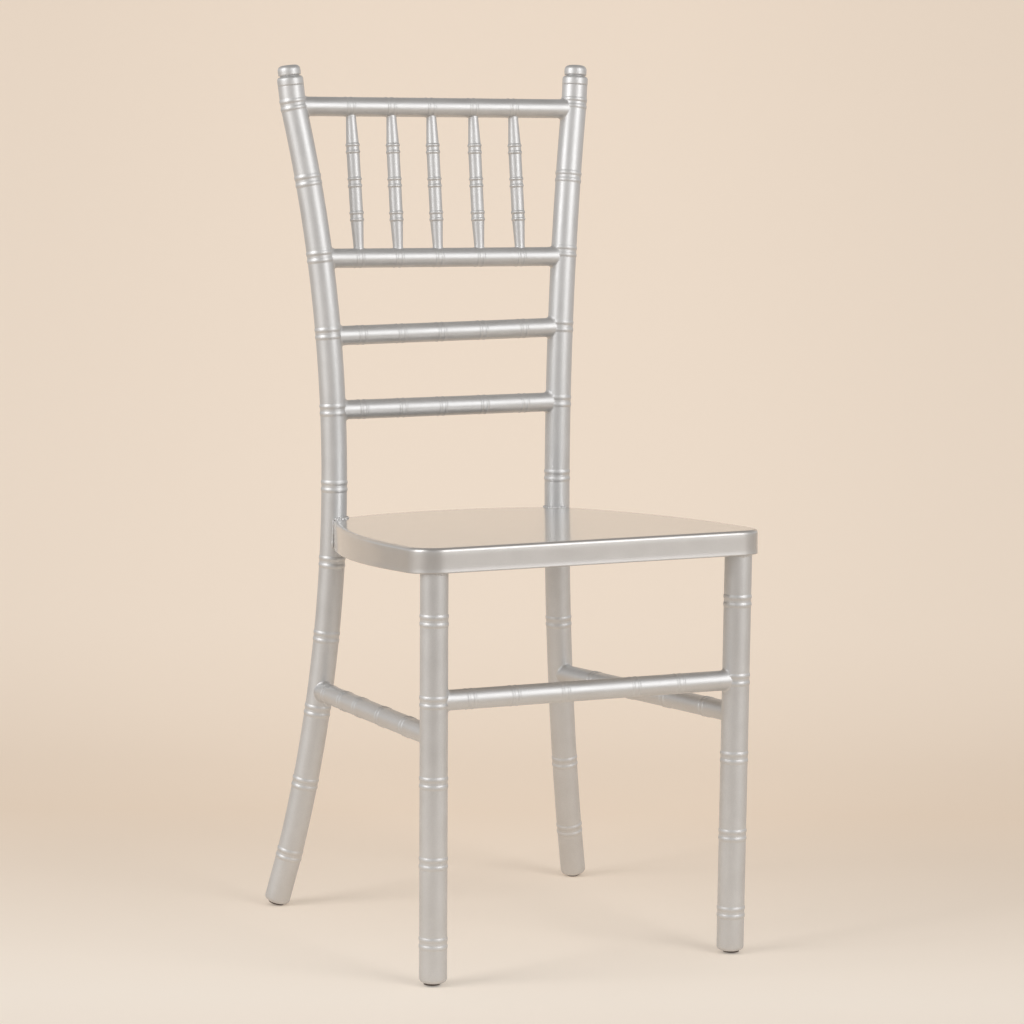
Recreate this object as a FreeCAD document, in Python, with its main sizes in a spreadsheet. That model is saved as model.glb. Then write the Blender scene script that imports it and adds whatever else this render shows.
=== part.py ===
import FreeCAD, Part
import math
import os
import re

import Sketcher
from FreeCAD import Vector

# Metal chiavari chair: a welded frame of round tube, rear posts bent in one curve with
# raised rings along them, four back rails, five spindles and a pressed seat pan.
# Millimetres. +Z up, the chair faces -Y, X = 0 is its plane of symmetry and the
# floor is Z = 0. Y = 0 is half way between the front and the back of the whole chair.

# Driving sizes: name, value, meaning
SIZES = [
    ("tube_radius", 14.0, "outside of the rear posts and front legs"),
    ("rail_radius", 10.5, "outside of the back rails and stretchers"),
    ("weld_gap", 0.3, "room between a coped end and what it is welded to"),
    ("ring_pitch", 82.7, "from one ring to the next along a post or leg"),
    ("ring_height", 0.9, "how far a ring stands proud"),
    ("ring_width", 6.0, "foot of a ring along the tube"),
    ("ring_root", 0.6, "how deep the foot of a ring sits in the tube"),
    ("waist_height", 468.8, "where the rear posts come nearest to each other"),
    ("waist_half_width", 134.7, "post axis from the middle of the chair there"),
    ("leg_to_waist", 346.8, "from the front leg axes back to the post axes there"),
    ("bend_radius", 1698.0, "circle through the post's ring centres"),
    ("bend_turn", 44.7, "degrees from sideways to the plane of the bend"),
    ("bend_lean", 0.33, "degrees that this plane leans towards the middle at the top"),
    ("post_ring_count", 6, "rings from the waist to each end, the waist's own included"),
    ("post_top_run", 20.5, "end of a rear post above its top ring"),
    ("post_top_tilt", 7.5, "degrees from upright of that end, in the plane of the bend"),
    ("leg_forward", 192.7, "front leg axes ahead of the middle"),
    ("leg_inset", 26.0, "front leg axis in from the side of the seat"),
    ("front_stretcher_height", 292.8, "front stretcher axis above the floor"),
    ("foot_chamfer", 2.2, "bevel at the foot of a post or leg"),
    ("glide_dome", 25.0, "sphere that the underside of a glide belongs to"),
    ("glide_radius", 8.6, "head of a glide"),
    ("glide_height", 3.4, "head of a glide, from the tube's end to its lowest point"),
    ("plug_gap", 0.3, "room round a spigot in its hole"),
    ("finial_spigot_radius", 9.0, "spigot in the top of the post"),
    ("finial_spigot", 14.0, "length of that spigot"),
    ("finial_collar", 10.5, "height of the collar, as wide as the post"),
    ("finial_shoulder", 1.6, "bevel at the collar's upper edge"),
    ("finial_neck_radius", 11.4, "foot of the button"),
    ("finial_button_radius", 12.1, "button on top"),
    ("finial_button", 11.4, "height of the button"),
    ("finial_bevel", 1.8, "bevel at the button's upper edge"),
    ("top_rail_drop", 3.8, "top rail axis below the post's top ring"),
    ("spindle_rail_drop", 3.7, "axis of the rail under the spindles below its ring"),
    ("middle_rail_drop", 2.2, "middle rail axis below its ring"),
    ("lower_rail_drop", 1.0, "lower rail axis below its ring"),
    ("spindle_spacing", 48.5, "from one spindle to the next"),
    ("spindle_offset", -5.0, "middle spindle from the middle of the chair, to the right of the sitter"),
    ("spindle_radius", 6.9, "outside of a spindle"),
    ("stretcher_leg_height", 256.2, "side stretcher axis at the front leg"),
    ("stretcher_post_height", 242.5, "side stretcher axis at the rear post"),
    ("seat_height", 449.6, "top of the seat above the front leg axes"),
    ("seat_slope", 2.75, "degrees that the seat falls to the rear"),
    ("seat_sheet", 1.8, "sheet of the seat pan"),
    ("seat_half_width", 199.0, "side of the seat from the middle"),
    ("seat_overhang", 17.5, "front of the seat ahead of the front leg axes"),
    ("seat_corner_radius", 30.0, "front corners of the seat"),
    ("seat_side_start", 50.0, "behind the leg axes, where the straight side turns into its long arc"),
    ("seat_rear_half_width", 135.5, "rear corner of the seat, inside the post's notch"),
    ("seat_rear_bulge", 33.0, "rise of the rear edge's arc behind its corners"),
    ("seat_edge", 3.0, "bevel between seat and rim"),
    ("seat_rim_front", 25.6, "depth of the rim at the front"),
    ("seat_rim_rear", 31.0, "depth of the rim at the posts"),
    ("brace_width", 24.0, "channel under the seat"),
    ("brace_depth", 14.0, "channel under the seat"),
    ("brace_sheet", 1.5, "sheet of the channel"),
    ("brace_front", 95.0, "middle of the front channel behind the front leg axes"),
    ("brace_rear", 250.0, "middle of the rear channel behind the front leg axes"),
]

doc = FreeCAD.newDocument("ChiavariChair")
sheet = doc.addObject("Spreadsheet::Sheet", "Sizes")
for row, (name, size, meaning) in enumerate(SIZES, 1):
    sheet.set(f"A{row}", name)
    sheet.set(f"B{row}", str(size))
    sheet.setAlias(f"B{row}", name)
    sheet.set(f"C{row}", meaning)
reading = doc.addObject("App::VarSet", "Reading")
reading.addProperty("App::PropertyFloat", "Number")
doc.recompute()


# Formulas in size names

def formula(text):
    """The same formula with every size name pointing at its cell."""
    return re.sub(r"[a-z]+(?:_[a-z]+)+", lambda word: "Sizes." + word.group(), str(text))


def value(text):
    """What a formula without angle units comes to."""
    reading.setExpression("Number", formula(text))
    reading.recompute()
    return reading.Number


def bind(thing, prop, text):
    thing.setExpression(prop, formula(text))


def frame(point, turns=()):
    """Formula for a placement at a point, turned about axes, the last turn first."""
    vector = "vector({}; {}; {})".format(*point)
    rotation = " * ".join(f"rotation(vector({axis}); {angle})" for axis, angle in turns)
    return f"placement({vector}; {rotation or 'rotation(vector(0; 0; 1); 0)'})"


ALONG_X = "1; 0; 0"
ALONG_Y = "0; 1; 0"
ALONG_Z = "0; 0; 1"

FRONT = "-leg_forward"
LEG_SIDE = "(seat_half_width - leg_inset)"
POST_DEPTH = "(leg_to_waist - leg_forward)"
STEP = "(2 * asin(ring_pitch / 2 / bend_radius))"

# The right rear post stands in its own frame: origin at the waist, +Z up along the
# axis, +X towards the outside of the bend, so the centre of the bend is on +X.
POST_FRAME = frame(("waist_half_width", POST_DEPTH, "waist_height"),
                   ((ALONG_Z, "bend_turn"), (ALONG_X, "-bend_lean")))
LEAN = "bend_lean * 1 deg"


def ring_out(step):
    """How far a ring centre of the post stands out from the waist."""
    return f"(bend_radius * (1 - cos({step} * {STEP})))"


def ring_up(step):
    """How far a ring centre of the post stands above the waist."""
    return f"(bend_radius * sin({step} * {STEP}))"


def in_chair(out, up):
    """A point of the right post's plane in the frame of the chair."""
    aside = f"({up} * sin({LEAN}))"
    return (
        f"(waist_half_width + {out} * cos(bend_turn * 1 deg) - {aside} * sin(bend_turn * 1 deg))",
        f"({POST_DEPTH} + {out} * sin(bend_turn * 1 deg) + {aside} * cos(bend_turn * 1 deg))",
        f"(waist_height + {up} * cos({LEAN}))",
    )


LAST = "(post_ring_count - 1)"
FOOT_TILT = f"({LAST} + 0.5) * {STEP}"
END_TILT = {1: "(post_top_tilt * 1 deg)", -1: f"({FOOT_TILT})"}
DOME_RISE = "(glide_dome - glide_height)"
FOOT_RUN = (
    f"(((waist_height - glide_dome) / cos({LEAN}) - {ring_up(LAST)}) / cos({FOOT_TILT}) + {DOME_RISE})"
)


def beyond_last(length, side):
    """Out and up of a point on the post's end run, above (side 1) or below (side -1)."""
    out = f"({ring_out(LAST)} + ({length}) * sin({END_TILT[side]}))"
    up = f"({side} * ({ring_up(LAST)} + ({length}) * cos({END_TILT[side]})))"
    return out, up


# Sketching

def new_body(name):
    body = doc.addObject("PartDesign::Body", name)
    body.Label = name
    return body


def new_sketch(body, name, role):
    sketch = body.newObject("Sketcher::SketchObject", name)
    plane = [feature for feature in body.Origin.OriginFeatures if feature.Role == role][0]
    sketch.AttachmentSupport = (plane, [""])
    sketch.MapMode = "FlatFace"
    return sketch


def hold_point(sketch, geometry, end, point):
    """Tie one end of a piece of geometry to a point given as two formulas."""
    for direction, axis, text in (("DistanceX", -2, point[0]), ("DistanceY", -1, point[1])):
        if abs(value(text)) < 1e-9:
            sketch.addConstraint(Sketcher.Constraint("PointOnObject", geometry, end, axis))
        else:
            index = sketch.addConstraint(
                Sketcher.Constraint(direction, -1, 1, geometry, end, value(text)))
            bind(sketch, f"Constraints[{index}]", text)


def straight_run(sketch, corners, closed):
    """Straight lines through corners given as pairs of formulas."""
    spots = [Vector(value(x), value(y), 0) for x, y in corners]
    count = len(spots) if closed else len(spots) - 1
    lines = [
        sketch.addGeometry(Part.LineSegment(spots[i], spots[(i + 1) % len(spots)]), False)
        for i in range(count)
    ]
    for i, line in enumerate(lines):
        hold_point(sketch, line, 1, corners[i])
        if i + 1 < count:
            sketch.addConstraint(Sketcher.Constraint("Coincident", line, 2, lines[i + 1], 1))
    if closed:
        sketch.addConstraint(Sketcher.Constraint("Coincident", lines[-1], 2, lines[0], 1))
    else:
        hold_point(sketch, lines[-1], 2, corners[-1])


def primitive(kind, name, placement, **sizes):
    """A cylinder, cone, box or ball with bound sizes and placement."""
    thing = doc.addObject("Part::" + kind, name)
    for prop, text in sizes.items():
        bind(thing, prop, text)
    bind(thing, "Placement", placement)
    return thing


def mirrored(source, name):
    """The same piece on the other side of the chair."""
    twin = doc.addObject("Part::Mirroring", name)
    twin.Label = name
    twin.Source = source
    twin.Base = Vector(0, 0, 0)
    twin.Normal = Vector(1, 0, 0)
    return twin


def combined(kind, name, members):
    result = doc.addObject("Part::" + kind, name)
    result.Label = name
    if kind in ("Cut", "Common"):
        result.Base, result.Tool = members
    elif kind == "Compound":
        result.Links = members
    else:
        result.Shapes = members
    return result


# Rear posts: bent tube, drawn as straight runs from ring to ring

def post_frame(point, tilt):
    """A placement on the right post's axis, +Z tilted outwards by an angle."""
    return f"{POST_FRAME} * " + frame((point[0], "0", point[1]), ((ALONG_Y, tilt),))


def end_frame(side, length):
    """A placement on the post's end run, above (side 1) or below (side -1)."""
    return post_frame(beyond_last(length, side), f"({side} * {END_TILT[side]})")


def ring(name, frame_at):
    """A low ring with one crest: two cones back to back, their feet sunk in the tube.

    frame_at gives the placement at a height above or below the ring's centre.
    """
    half = "(ring_width / 2 * (1 + ring_root / ring_height))"
    root = "tube_radius - ring_root"
    crest = "tube_radius + ring_height"
    return [
        primitive("Cone", name + "_lower", f"{frame_at} * " + frame(("0", "0", f"-{half}")),
                  Radius1=root, Radius2=crest, Height=half),
        primitive("Cone", name + "_upper", frame_at, Radius1=crest, Radius2=root, Height=half),
    ]


def rear_post(name):
    last = int(value(LAST))
    pieces = []
    for step in range(-last, last + 1):
        here = (ring_out(step), ring_up(step))
        pieces += ring(f"{name}_ring", post_frame(here, f"({step} * {STEP})"))
        if step < last:
            pieces.append(primitive(
                "Cylinder", f"{name}_run", post_frame(here, f"(({step} + 0.5) * {STEP})"),
                Radius="tube_radius", Height="ring_pitch"))
    pieces += [
        primitive("Cylinder", name + "_top_run", end_frame(1, 0),
                  Radius="tube_radius", Height="post_top_run"),
        primitive("Cylinder", name + "_foot_run", end_frame(-1, f"{FOOT_RUN} - foot_chamfer"),
                  Radius="tube_radius", Height=f"{FOOT_RUN} - foot_chamfer"),
        primitive("Cone", name + "_foot_bevel", end_frame(-1, FOOT_RUN),
                  Radius1="tube_radius - foot_chamfer", Radius2="tube_radius", Height="foot_chamfer"),
    ]
    spigot = primitive("Cylinder", name + "_spigot_hole", end_frame(1, "post_top_run - finial_spigot - plug_gap"),
                       Radius="finial_spigot_radius + plug_gap", Height="finial_spigot + 2 * plug_gap")
    return combined("Cut", name, [combined("MultiFuse", name + "_solid", pieces), spigot])


rear_post_right = rear_post("rear_post_right")
rear_post_left = mirrored(rear_post_right, "rear_post_left")


# Front legs

LEG_TOP = (
    "(seat_height - (tube_radius + weld_gap) * tan(seat_slope * 1 deg)"
    " - (seat_sheet + weld_gap) / cos(seat_slope * 1 deg))"
)


def leg_frame(height):
    return frame((LEG_SIDE, FRONT, height))


def front_leg(name):
    bevel_top = "(glide_height + foot_chamfer)"
    tube = primitive("Cylinder", name + "_tube", leg_frame(bevel_top),
                     Radius="tube_radius", Height=f"{LEG_TOP} - {bevel_top}")
    bevel = primitive("Cone", name + "_foot_bevel", leg_frame("glide_height"),
                      Radius1="tube_radius - foot_chamfer", Radius2="tube_radius", Height="foot_chamfer")
    return combined("MultiFuse", name, [tube, bevel])


front_leg_right = front_leg("front_leg_right")
front_leg_left = mirrored(front_leg_right, "front_leg_left")


# Foot glides: a flat top against the end of the tube and a domed underside

def foot_glide(name, at):
    """The placement is the centre of the dome, +Z along the tube."""
    disc = primitive("Cylinder", name + "_disc", f"{at} * " + frame(("0", "0", "-glide_dome")),
                     Radius="glide_radius", Height="glide_height")
    ball = primitive("Sphere", name + "_ball", at, Radius="glide_dome")
    return combined("Common", name, [disc, ball])


glide_front = foot_glide("glide_front", leg_frame("glide_dome"))
glide_rear = foot_glide("glide_rear", end_frame(-1, f"{FOOT_RUN} - {DOME_RISE}"))
foot_glides = combined("Compound", "foot_glides", [
    glide_front, mirrored(glide_front, "glide_front_left"),
    glide_rear, mirrored(glide_rear, "glide_rear_left"),
])


# Finials: a spigot in the post, a collar and a button

def finial(name):
    body = new_body(name)
    bind(body, "Placement", end_frame(1, "post_top_run"))
    sketch = new_sketch(body, "outline", "XZ_Plane")
    shoulder = "(tube_radius - finial_neck_radius)"
    top = "finial_collar + finial_button"
    straight_run(sketch, [
        (0, "-finial_spigot"),
        ("finial_spigot_radius", "-finial_spigot"),
        ("finial_spigot_radius", 0),
        ("tube_radius", 0),
        ("tube_radius", "finial_collar - finial_shoulder"),
        ("finial_neck_radius", "finial_collar"),
        ("finial_button_radius", "finial_collar"),
        ("finial_button_radius", f"{top} - finial_bevel"),
        ("finial_button_radius - finial_bevel", top),
        (0, top),
    ], True)
    turn = body.newObject("PartDesign::Revolution", "turning")
    turn.Profile = sketch
    turn.ReferenceAxis = (sketch, ["V_Axis"])
    turn.Angle = 360
    return body


finial_right = finial("finial_right")
finials = combined("Compound", "finials", [finial_right, mirrored(finial_right, "finial_left")])


# Back rails and stretchers, their ends coped to the round of what they meet

def bar(name, start, length, radius, turns):
    """A round bar from a point along its turned Z axis."""
    return primitive("Cylinder", name, frame(start, turns), Radius=radius, Height=length)


def coped(name, blank, tools):
    return combined("Cut", name, [blank, combined("Compound", name + "_copes", tools)])


def below_ring(step, drop):
    """The point of the post's run under a ring, some way down from the ring."""
    tilt = f"(({step} - 0.5) * {STEP})"
    return f"({ring_out(step)} - {drop} * sin({tilt}))", f"({ring_up(step)} - {drop} * cos({tilt}))"


def back_rail(name, step):
    """A rail between the posts just under one of their rings, counted up from the waist."""
    x, y, z = in_chair(*below_ring(step, name + "_drop"))
    blank = bar(name + "_blank", (f"-{x}", y, z), f"2 * {x}", "rail_radius", ((ALONG_Y, "90"),))
    here = post_frame((ring_out(step), ring_up(step)), f"({step} * {STEP})")
    tool = primitive("Cylinder", name + "_cope", f"{here} * " + frame(("0", "0", "-3 * rail_radius")),
                     Radius="tube_radius + ring_height + weld_gap", Height="6 * rail_radius")
    return coped(name, blank, [tool, mirrored(tool, name + "_cope_left")])


TOP_STEP = 5
SPINDLE_STEP = 3
back_rails = [
    back_rail("top_rail", TOP_STEP),
    back_rail("spindle_rail", SPINDLE_STEP),
    back_rail("middle_rail", 2),
    back_rail("lower_rail", 1),
]


def leg_cope(name, height):
    return primitive("Cylinder", name, leg_frame(f"{height} - 2 * rail_radius"),
                     Radius="tube_radius + weld_gap", Height="4 * rail_radius")


front_blank = bar("front_stretcher_blank", (f"-{LEG_SIDE}", FRONT, "front_stretcher_height"),
                  f"2 * {LEG_SIDE}", "rail_radius", ((ALONG_Y, "90"),))
front_tool = leg_cope("front_stretcher_cope", "front_stretcher_height")
front_stretcher = coped("front_stretcher", front_blank,
                        [front_tool, mirrored(front_tool, "front_stretcher_cope_left")])


def run_point(step, height):
    """The point of the post's run above a ring, at a height; which run it is stays the same."""
    tilt = f"(({step} + 0.5) * {STEP})"
    along = f"(((({height}) - waist_height) / cos({LEAN}) - {ring_up(step)}) / cos({tilt}))"
    return (f"({ring_out(step)} + {along} * sin({tilt}))", f"({ring_up(step)} + {along} * cos({tilt}))"), tilt


def side_stretcher(name):
    """From the front leg, slightly down to the rear post."""
    (out, up), tilt = run_point(-3, "stretcher_post_height")
    x, y, _ = in_chair(out, up)
    y = f"({y} + leg_forward)"
    across = f"({x} - {LEG_SIDE})"
    fall = "(stretcher_post_height - stretcher_leg_height)"
    level = f"sqrt({across}^2 + {y}^2)"
    blank = bar(name + "_blank", (LEG_SIDE, FRONT, "stretcher_leg_height"),
                f"sqrt({across}^2 + {y}^2 + {fall}^2)", "rail_radius",
                ((ALONG_Z, f"(90 deg - atan({across} / {y}))"), (ALONG_Y, f"(90 deg - atan({fall} / {level}))")))
    post_tool = primitive("Cylinder", name + "_post_cope",
                          f"{post_frame((out, up), tilt)} * " + frame(("0", "0", "-2 * rail_radius")),
                          Radius="tube_radius + weld_gap", Height="4 * rail_radius")
    leg_tool = leg_cope(name + "_leg_cope", "stretcher_leg_height")
    return coped(name, blank, [leg_tool, post_tool])


right_stretcher = side_stretcher("right_stretcher")
left_stretcher = mirrored(right_stretcher, "left_stretcher")


# Spindles between the top rail and the rail below it

def spindle(name, place_number):
    _, low_y, low_z = in_chair(*below_ring(SPINDLE_STEP, "spindle_rail_drop"))
    _, top_y, top_z = in_chair(*below_ring(TOP_STEP, "top_rail_drop"))
    x = f"(spindle_offset + {place_number} * spindle_spacing)"
    back = f"({top_y} - {low_y})"
    up = f"({top_z} - {low_z})"
    blank = bar(name + "_blank", (x, low_y, low_z), f"sqrt({back}^2 + {up}^2)", "spindle_radius",
                ((ALONG_X, f"-atan({back} / {up})"),))
    tools = [
        bar(f"{name}_cope_{end}", (f"({x} - 2 * spindle_radius)", y, z), "4 * spindle_radius",
            "rail_radius + weld_gap", ((ALONG_Y, "90"),))
        for end, y, z in (("low", low_y, low_z), ("top", top_y, top_z))
    ]
    return coped(name, blank, tools)


spindles = [spindle(f"spindle_{number}", number - 3) for number in range(1, 6)]


# Seat pan: a pressed sheet with a turned-down rim, notched round the posts

SEAT_FRAME = frame(("0", FRONT, "seat_height"), ((ALONG_X, "-seat_slope"),))


def seat_outline(sketch, inset):
    """Straight front, round front corners, long side arcs and an arc across the rear."""
    half_text = f"(seat_half_width - {inset})"
    rear_half_text = f"(seat_rear_half_width - {inset})"
    rear_text = f"(leg_to_waist - {inset})"
    corner_text = f"(seat_corner_radius - {inset})"
    front_text = f"({inset} - seat_overhang)"
    rear_radius_text = f"({rear_half_text}^2 + seat_rear_bulge^2) / (2 * seat_rear_bulge)"
    half, rear_half, rear = value(half_text), value(rear_half_text), value(rear_text)
    corner, front, across = value(corner_text), value(front_text), value(rear_radius_text)
    start = value("seat_side_start")
    side = ((half - rear_half) ** 2 + (rear - start) ** 2) / (2 * (half - rear_half))
    sweep = math.asin((rear - start) / side)
    rear_sweep = math.asin(rear_half / across)
    rear_centre = rear + value("seat_rear_bulge") - across
    quarter = math.pi / 2

    def arc(x, y, radius, first, last):
        circle = Part.Circle(Vector(x, y, 0), Vector(0, 0, 1), radius)
        return sketch.addGeometry(Part.ArcOfCircle(circle, first, last), False)

    def line(x, y, to_x, to_y):
        return sketch.addGeometry(Part.LineSegment(Vector(x, y, 0), Vector(to_x, to_y, 0)), False)

    front_edge = line(corner - half, front, half - corner, front)
    right_corner = arc(half - corner, front + corner, corner, -quarter, 0)
    right_run = line(half, front + corner, half, start)
    right_side = arc(half - side, start, side, 0, sweep)
    rear_edge = arc(0, rear_centre, across, quarter - rear_sweep, quarter + rear_sweep)
    left_side = arc(side - half, start, side, 2 * quarter - sweep, 2 * quarter)
    left_run = line(-half, start, -half, front + corner)
    left_corner = arc(corner - half, front + corner, corner, 2 * quarter, 3 * quarter)
    for first, end, last, begin in (
        (front_edge, 2, right_corner, 1), (right_corner, 2, right_run, 1),
        (right_run, 2, right_side, 1), (left_side, 2, left_run, 1),
        (left_run, 2, left_corner, 1), (left_corner, 2, front_edge, 1),
    ):
        sketch.addConstraint(Sketcher.Constraint("Tangent", first, end, last, begin))
    sketch.addConstraint(Sketcher.Constraint("Coincident", right_side, 2, rear_edge, 1))
    sketch.addConstraint(Sketcher.Constraint("Coincident", rear_edge, 2, left_side, 1))
    sketch.addConstraint(Sketcher.Constraint("Horizontal", front_edge))
    hold_point(sketch, front_edge, 2, (f"{half_text} - {corner_text}", front_text))
    hold_point(sketch, right_run, 2, (half_text, "seat_side_start"))
    hold_point(sketch, left_run, 1, (f"-{half_text}", "seat_side_start"))
    hold_point(sketch, right_side, 2, (rear_half_text, rear_text))
    hold_point(sketch, left_side, 1, (f"-{rear_half_text}", rear_text))
    for curve, radius in ((right_corner, corner_text), (left_corner, corner_text), (rear_edge, rear_radius_text)):
        index = sketch.addConstraint(Sketcher.Constraint("Radius", curve, value(radius)))
        bind(sketch, f"Constraints[{index}]", radius)


def seat_pan(name):
    body = new_body(name + "_pressing")
    bind(body, "Placement", SEAT_FRAME)
    outside = new_sketch(body, "outline", "XY_Plane")
    seat_outline(outside, "0 * seat_sheet")
    blank = body.newObject("PartDesign::Pad", "blank")
    blank.Profile = outside
    bind(blank, "Length", "seat_rim_rear + 3 * seat_sheet")
    blank.Reversed = True
    doc.recompute()
    edges = [f"Edge{i}" for i, edge in enumerate(blank.Shape.Edges, 1) if edge.BoundBox.ZMin > -0.01]
    bevel = body.newObject("PartDesign::Chamfer", "edge_bevel")
    bevel.Base = (blank, edges)
    bind(bevel, "Size", "seat_edge")

    inside = new_sketch(body, "inner_outline", "XY_Plane")
    inside.AttachmentOffset = FreeCAD.Placement(Vector(0, 0, -value("seat_sheet")), FreeCAD.Rotation())
    bind(inside, "AttachmentOffset", "placement(vector(0; 0; -seat_sheet); rotation(vector(0; 0; 1); 0))")
    seat_outline(inside, "seat_sheet")
    hollow = body.newObject("PartDesign::Pocket", "hollow")
    hollow.Profile = inside
    hollow.Type = "ThroughAll"
    doc.recompute()
    whole = hollow.Shape.Volume
    if whole > blank.Shape.Volume / 2:
        raise RuntimeError("the seat pan is not hollow")

    trim = new_sketch(body, "rim_trim_outline", "YZ_Plane")
    ahead = "-(seat_overhang + seat_edge)"
    behind = "(leg_to_waist + seat_rear_bulge + seat_edge)"
    deep = "-(seat_rim_rear + 6 * seat_edge)"
    fall = "(seat_rim_rear - seat_rim_front) / (leg_to_waist + seat_overhang)"
    straight_run(trim, [
        (ahead, deep),
        (behind, deep),
        (behind, f"-seat_rim_front - {fall} * ({behind} + seat_overhang)"),
        (ahead, f"-seat_rim_front + {fall} * seat_edge"),
    ], True)
    pocket = body.newObject("PartDesign::Pocket", "rim_trim")
    pocket.Profile = trim
    pocket.Type = "ThroughAll"
    pocket.Midplane = True
    doc.recompute()
    if pocket.Shape.Volume >= whole:
        raise RuntimeError("the rim is not trimmed")

    (out, up), tilt = run_point(-1, "seat_height - seat_rim_rear")
    tool = primitive("Cylinder", name + "_notch", f"{post_frame((out, up), tilt)} * "
                     + frame(("0", "0", "-2 * seat_rim_rear")),
                     Radius="tube_radius + weld_gap", Height="4 * seat_rim_rear")
    return coped(name, body, [tool, mirrored(tool, name + "_notch_left")])


seat = seat_pan("seat_pan")


# Channels under the seat, open side up against the sheet

def seat_brace(name, where):
    body = new_body(name)
    bind(body, "Placement", SEAT_FRAME)
    half = "(seat_half_width - seat_rear_half_width)"
    reach = "(leg_to_waist - seat_side_start)"
    side_radius = f"(({half}^2 + {reach}^2) / (2 * {half}))"
    far = f"({where} + brace_width / 2 - seat_side_start)"
    bow = f"({side_radius} - sqrt({side_radius}^2 - {far}^2))"
    half_length = f"(seat_half_width - {bow} - seat_sheet - 2 * weld_gap)"
    front = f"({where} - brace_width / 2)"
    back = f"({where} + brace_width / 2)"
    low = "(-seat_sheet - brace_depth)"
    sketch = new_sketch(body, "section", "YZ_Plane")
    straight_run(sketch, [
        (front, "-seat_sheet"),
        (front, low),
        (back, low),
        (back, "-seat_sheet"),
        (f"{back} - brace_sheet", "-seat_sheet"),
        (f"{back} - brace_sheet", f"{low} + brace_sheet"),
        (f"{front} + brace_sheet", f"{low} + brace_sheet"),
        (f"{front} + brace_sheet", "-seat_sheet"),
    ], True)
    pad = body.newObject("PartDesign::Pad", "channel")
    pad.Profile = sketch
    bind(pad, "Length", f"2 * {half_length}")
    pad.Midplane = True
    return body


braces = [seat_brace("seat_brace_front", "brace_front"), seat_brace("seat_brace_rear", "brace_rear")]


# Check and write

parts = [
    rear_post_right, rear_post_left, front_leg_right, front_leg_left, foot_glides, finials,
    *back_rails, front_stretcher, right_stretcher, left_stretcher, *spindles, seat, *braces,
]
doc.recompute()
for thing in doc.Objects:
    if "Invalid" in thing.State or "Error" in thing.State:
        raise RuntimeError(f"{thing.Label} did not build: {thing.State}")
for part in parts:
    if part.Shape.isNull() or not part.Shape.isValid():
        raise RuntimeError(f"{part.Label} has no valid shape")

os.makedirs("parts", exist_ok=True)
for part in parts:
    part.Shape.exportStep(f"parts/{part.Label}.step")
    box = part.Shape.optimalBoundingBox(True, False)
    print(f"{part.Label}: {len(part.Shape.Solids)} solid(s), {part.Shape.Volume:.0f} mm3, "
          f"x {box.XMin:.2f} to {box.XMax:.2f}, y {box.YMin:.2f} to {box.YMax:.2f}, "
          f"z {box.ZMin:.2f} to {box.ZMax:.2f}")
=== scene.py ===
import math

import bpy
import numpy as np
from mathutils import Matrix, Vector


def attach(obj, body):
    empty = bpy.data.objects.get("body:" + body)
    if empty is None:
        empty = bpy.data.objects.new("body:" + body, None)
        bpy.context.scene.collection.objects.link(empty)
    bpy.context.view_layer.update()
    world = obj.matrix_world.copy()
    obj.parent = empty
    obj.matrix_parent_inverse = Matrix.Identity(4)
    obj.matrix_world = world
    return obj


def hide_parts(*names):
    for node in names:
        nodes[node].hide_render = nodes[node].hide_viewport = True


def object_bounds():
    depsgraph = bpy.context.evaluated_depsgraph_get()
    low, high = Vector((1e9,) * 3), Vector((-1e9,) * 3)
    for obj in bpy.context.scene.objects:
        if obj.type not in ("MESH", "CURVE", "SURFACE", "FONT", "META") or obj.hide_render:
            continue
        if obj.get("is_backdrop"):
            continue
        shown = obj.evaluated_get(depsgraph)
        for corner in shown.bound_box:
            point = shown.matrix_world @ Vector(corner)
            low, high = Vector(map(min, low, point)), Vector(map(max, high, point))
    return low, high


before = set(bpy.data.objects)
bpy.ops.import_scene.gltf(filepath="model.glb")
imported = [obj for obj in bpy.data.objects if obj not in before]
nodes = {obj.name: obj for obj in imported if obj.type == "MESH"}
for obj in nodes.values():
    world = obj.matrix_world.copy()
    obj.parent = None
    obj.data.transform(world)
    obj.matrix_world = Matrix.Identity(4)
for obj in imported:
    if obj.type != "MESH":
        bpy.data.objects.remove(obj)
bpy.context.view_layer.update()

# The chair is worked out in millimetres and brought to metres when a mesh is made.
# +Z up, the chair faces -Y. Left and right are as seen from the front, so that right is +X.

MM = 0.001

# Radii of the posts and of the rails
TUBE = 14.0
RAIL = 10.5

# Front legs: how far forward, radius, ends, and how far the axis is from the middle at each end
LEG_Y = -192.7
LEG_TUBE = 14.3
LEG_FOOT, LEG_TOP = 3.4, 446.5
LEG_X_LOW, LEG_X_HIGH = 171.9, 173.9

# Rear posts: the middle ring of the right one, the bend's radius and the rings' spacing, the plane of the bend,
# and the straight ends above and below the last rings
WAIST = np.array([134.7, 154.1, 468.8])
BEND = 1698.0
PITCH = 82.7
STEP = 2 * math.asin(PITCH / 2 / BEND)
TURN = math.radians(44.7)
LEAN = math.radians(0.33)
OUTWARD = np.array([math.cos(TURN), math.sin(TURN), 0.0])
ASIDE = np.array([-math.sin(TURN), math.cos(TURN), 0.0])
UP = np.array([0.0, 0.0, 1.0])
ALONG = ASIDE * math.sin(LEAN) + UP * math.cos(LEAN)
LAST = 5
FOOT_TILT = (LAST + 0.5) * STEP
TOP_TILT = math.radians(7.5)
TOP_RUN = 20.5
DOME = 25.0
DOME_RISE = 21.6
BEND_DROP = (WAIST[2] - DOME) / math.cos(LEAN) - BEND * math.sin(LAST * STEP)
FOOT_RUN = BEND_DROP / math.cos(FOOT_TILT) + DOME_RISE

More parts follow.
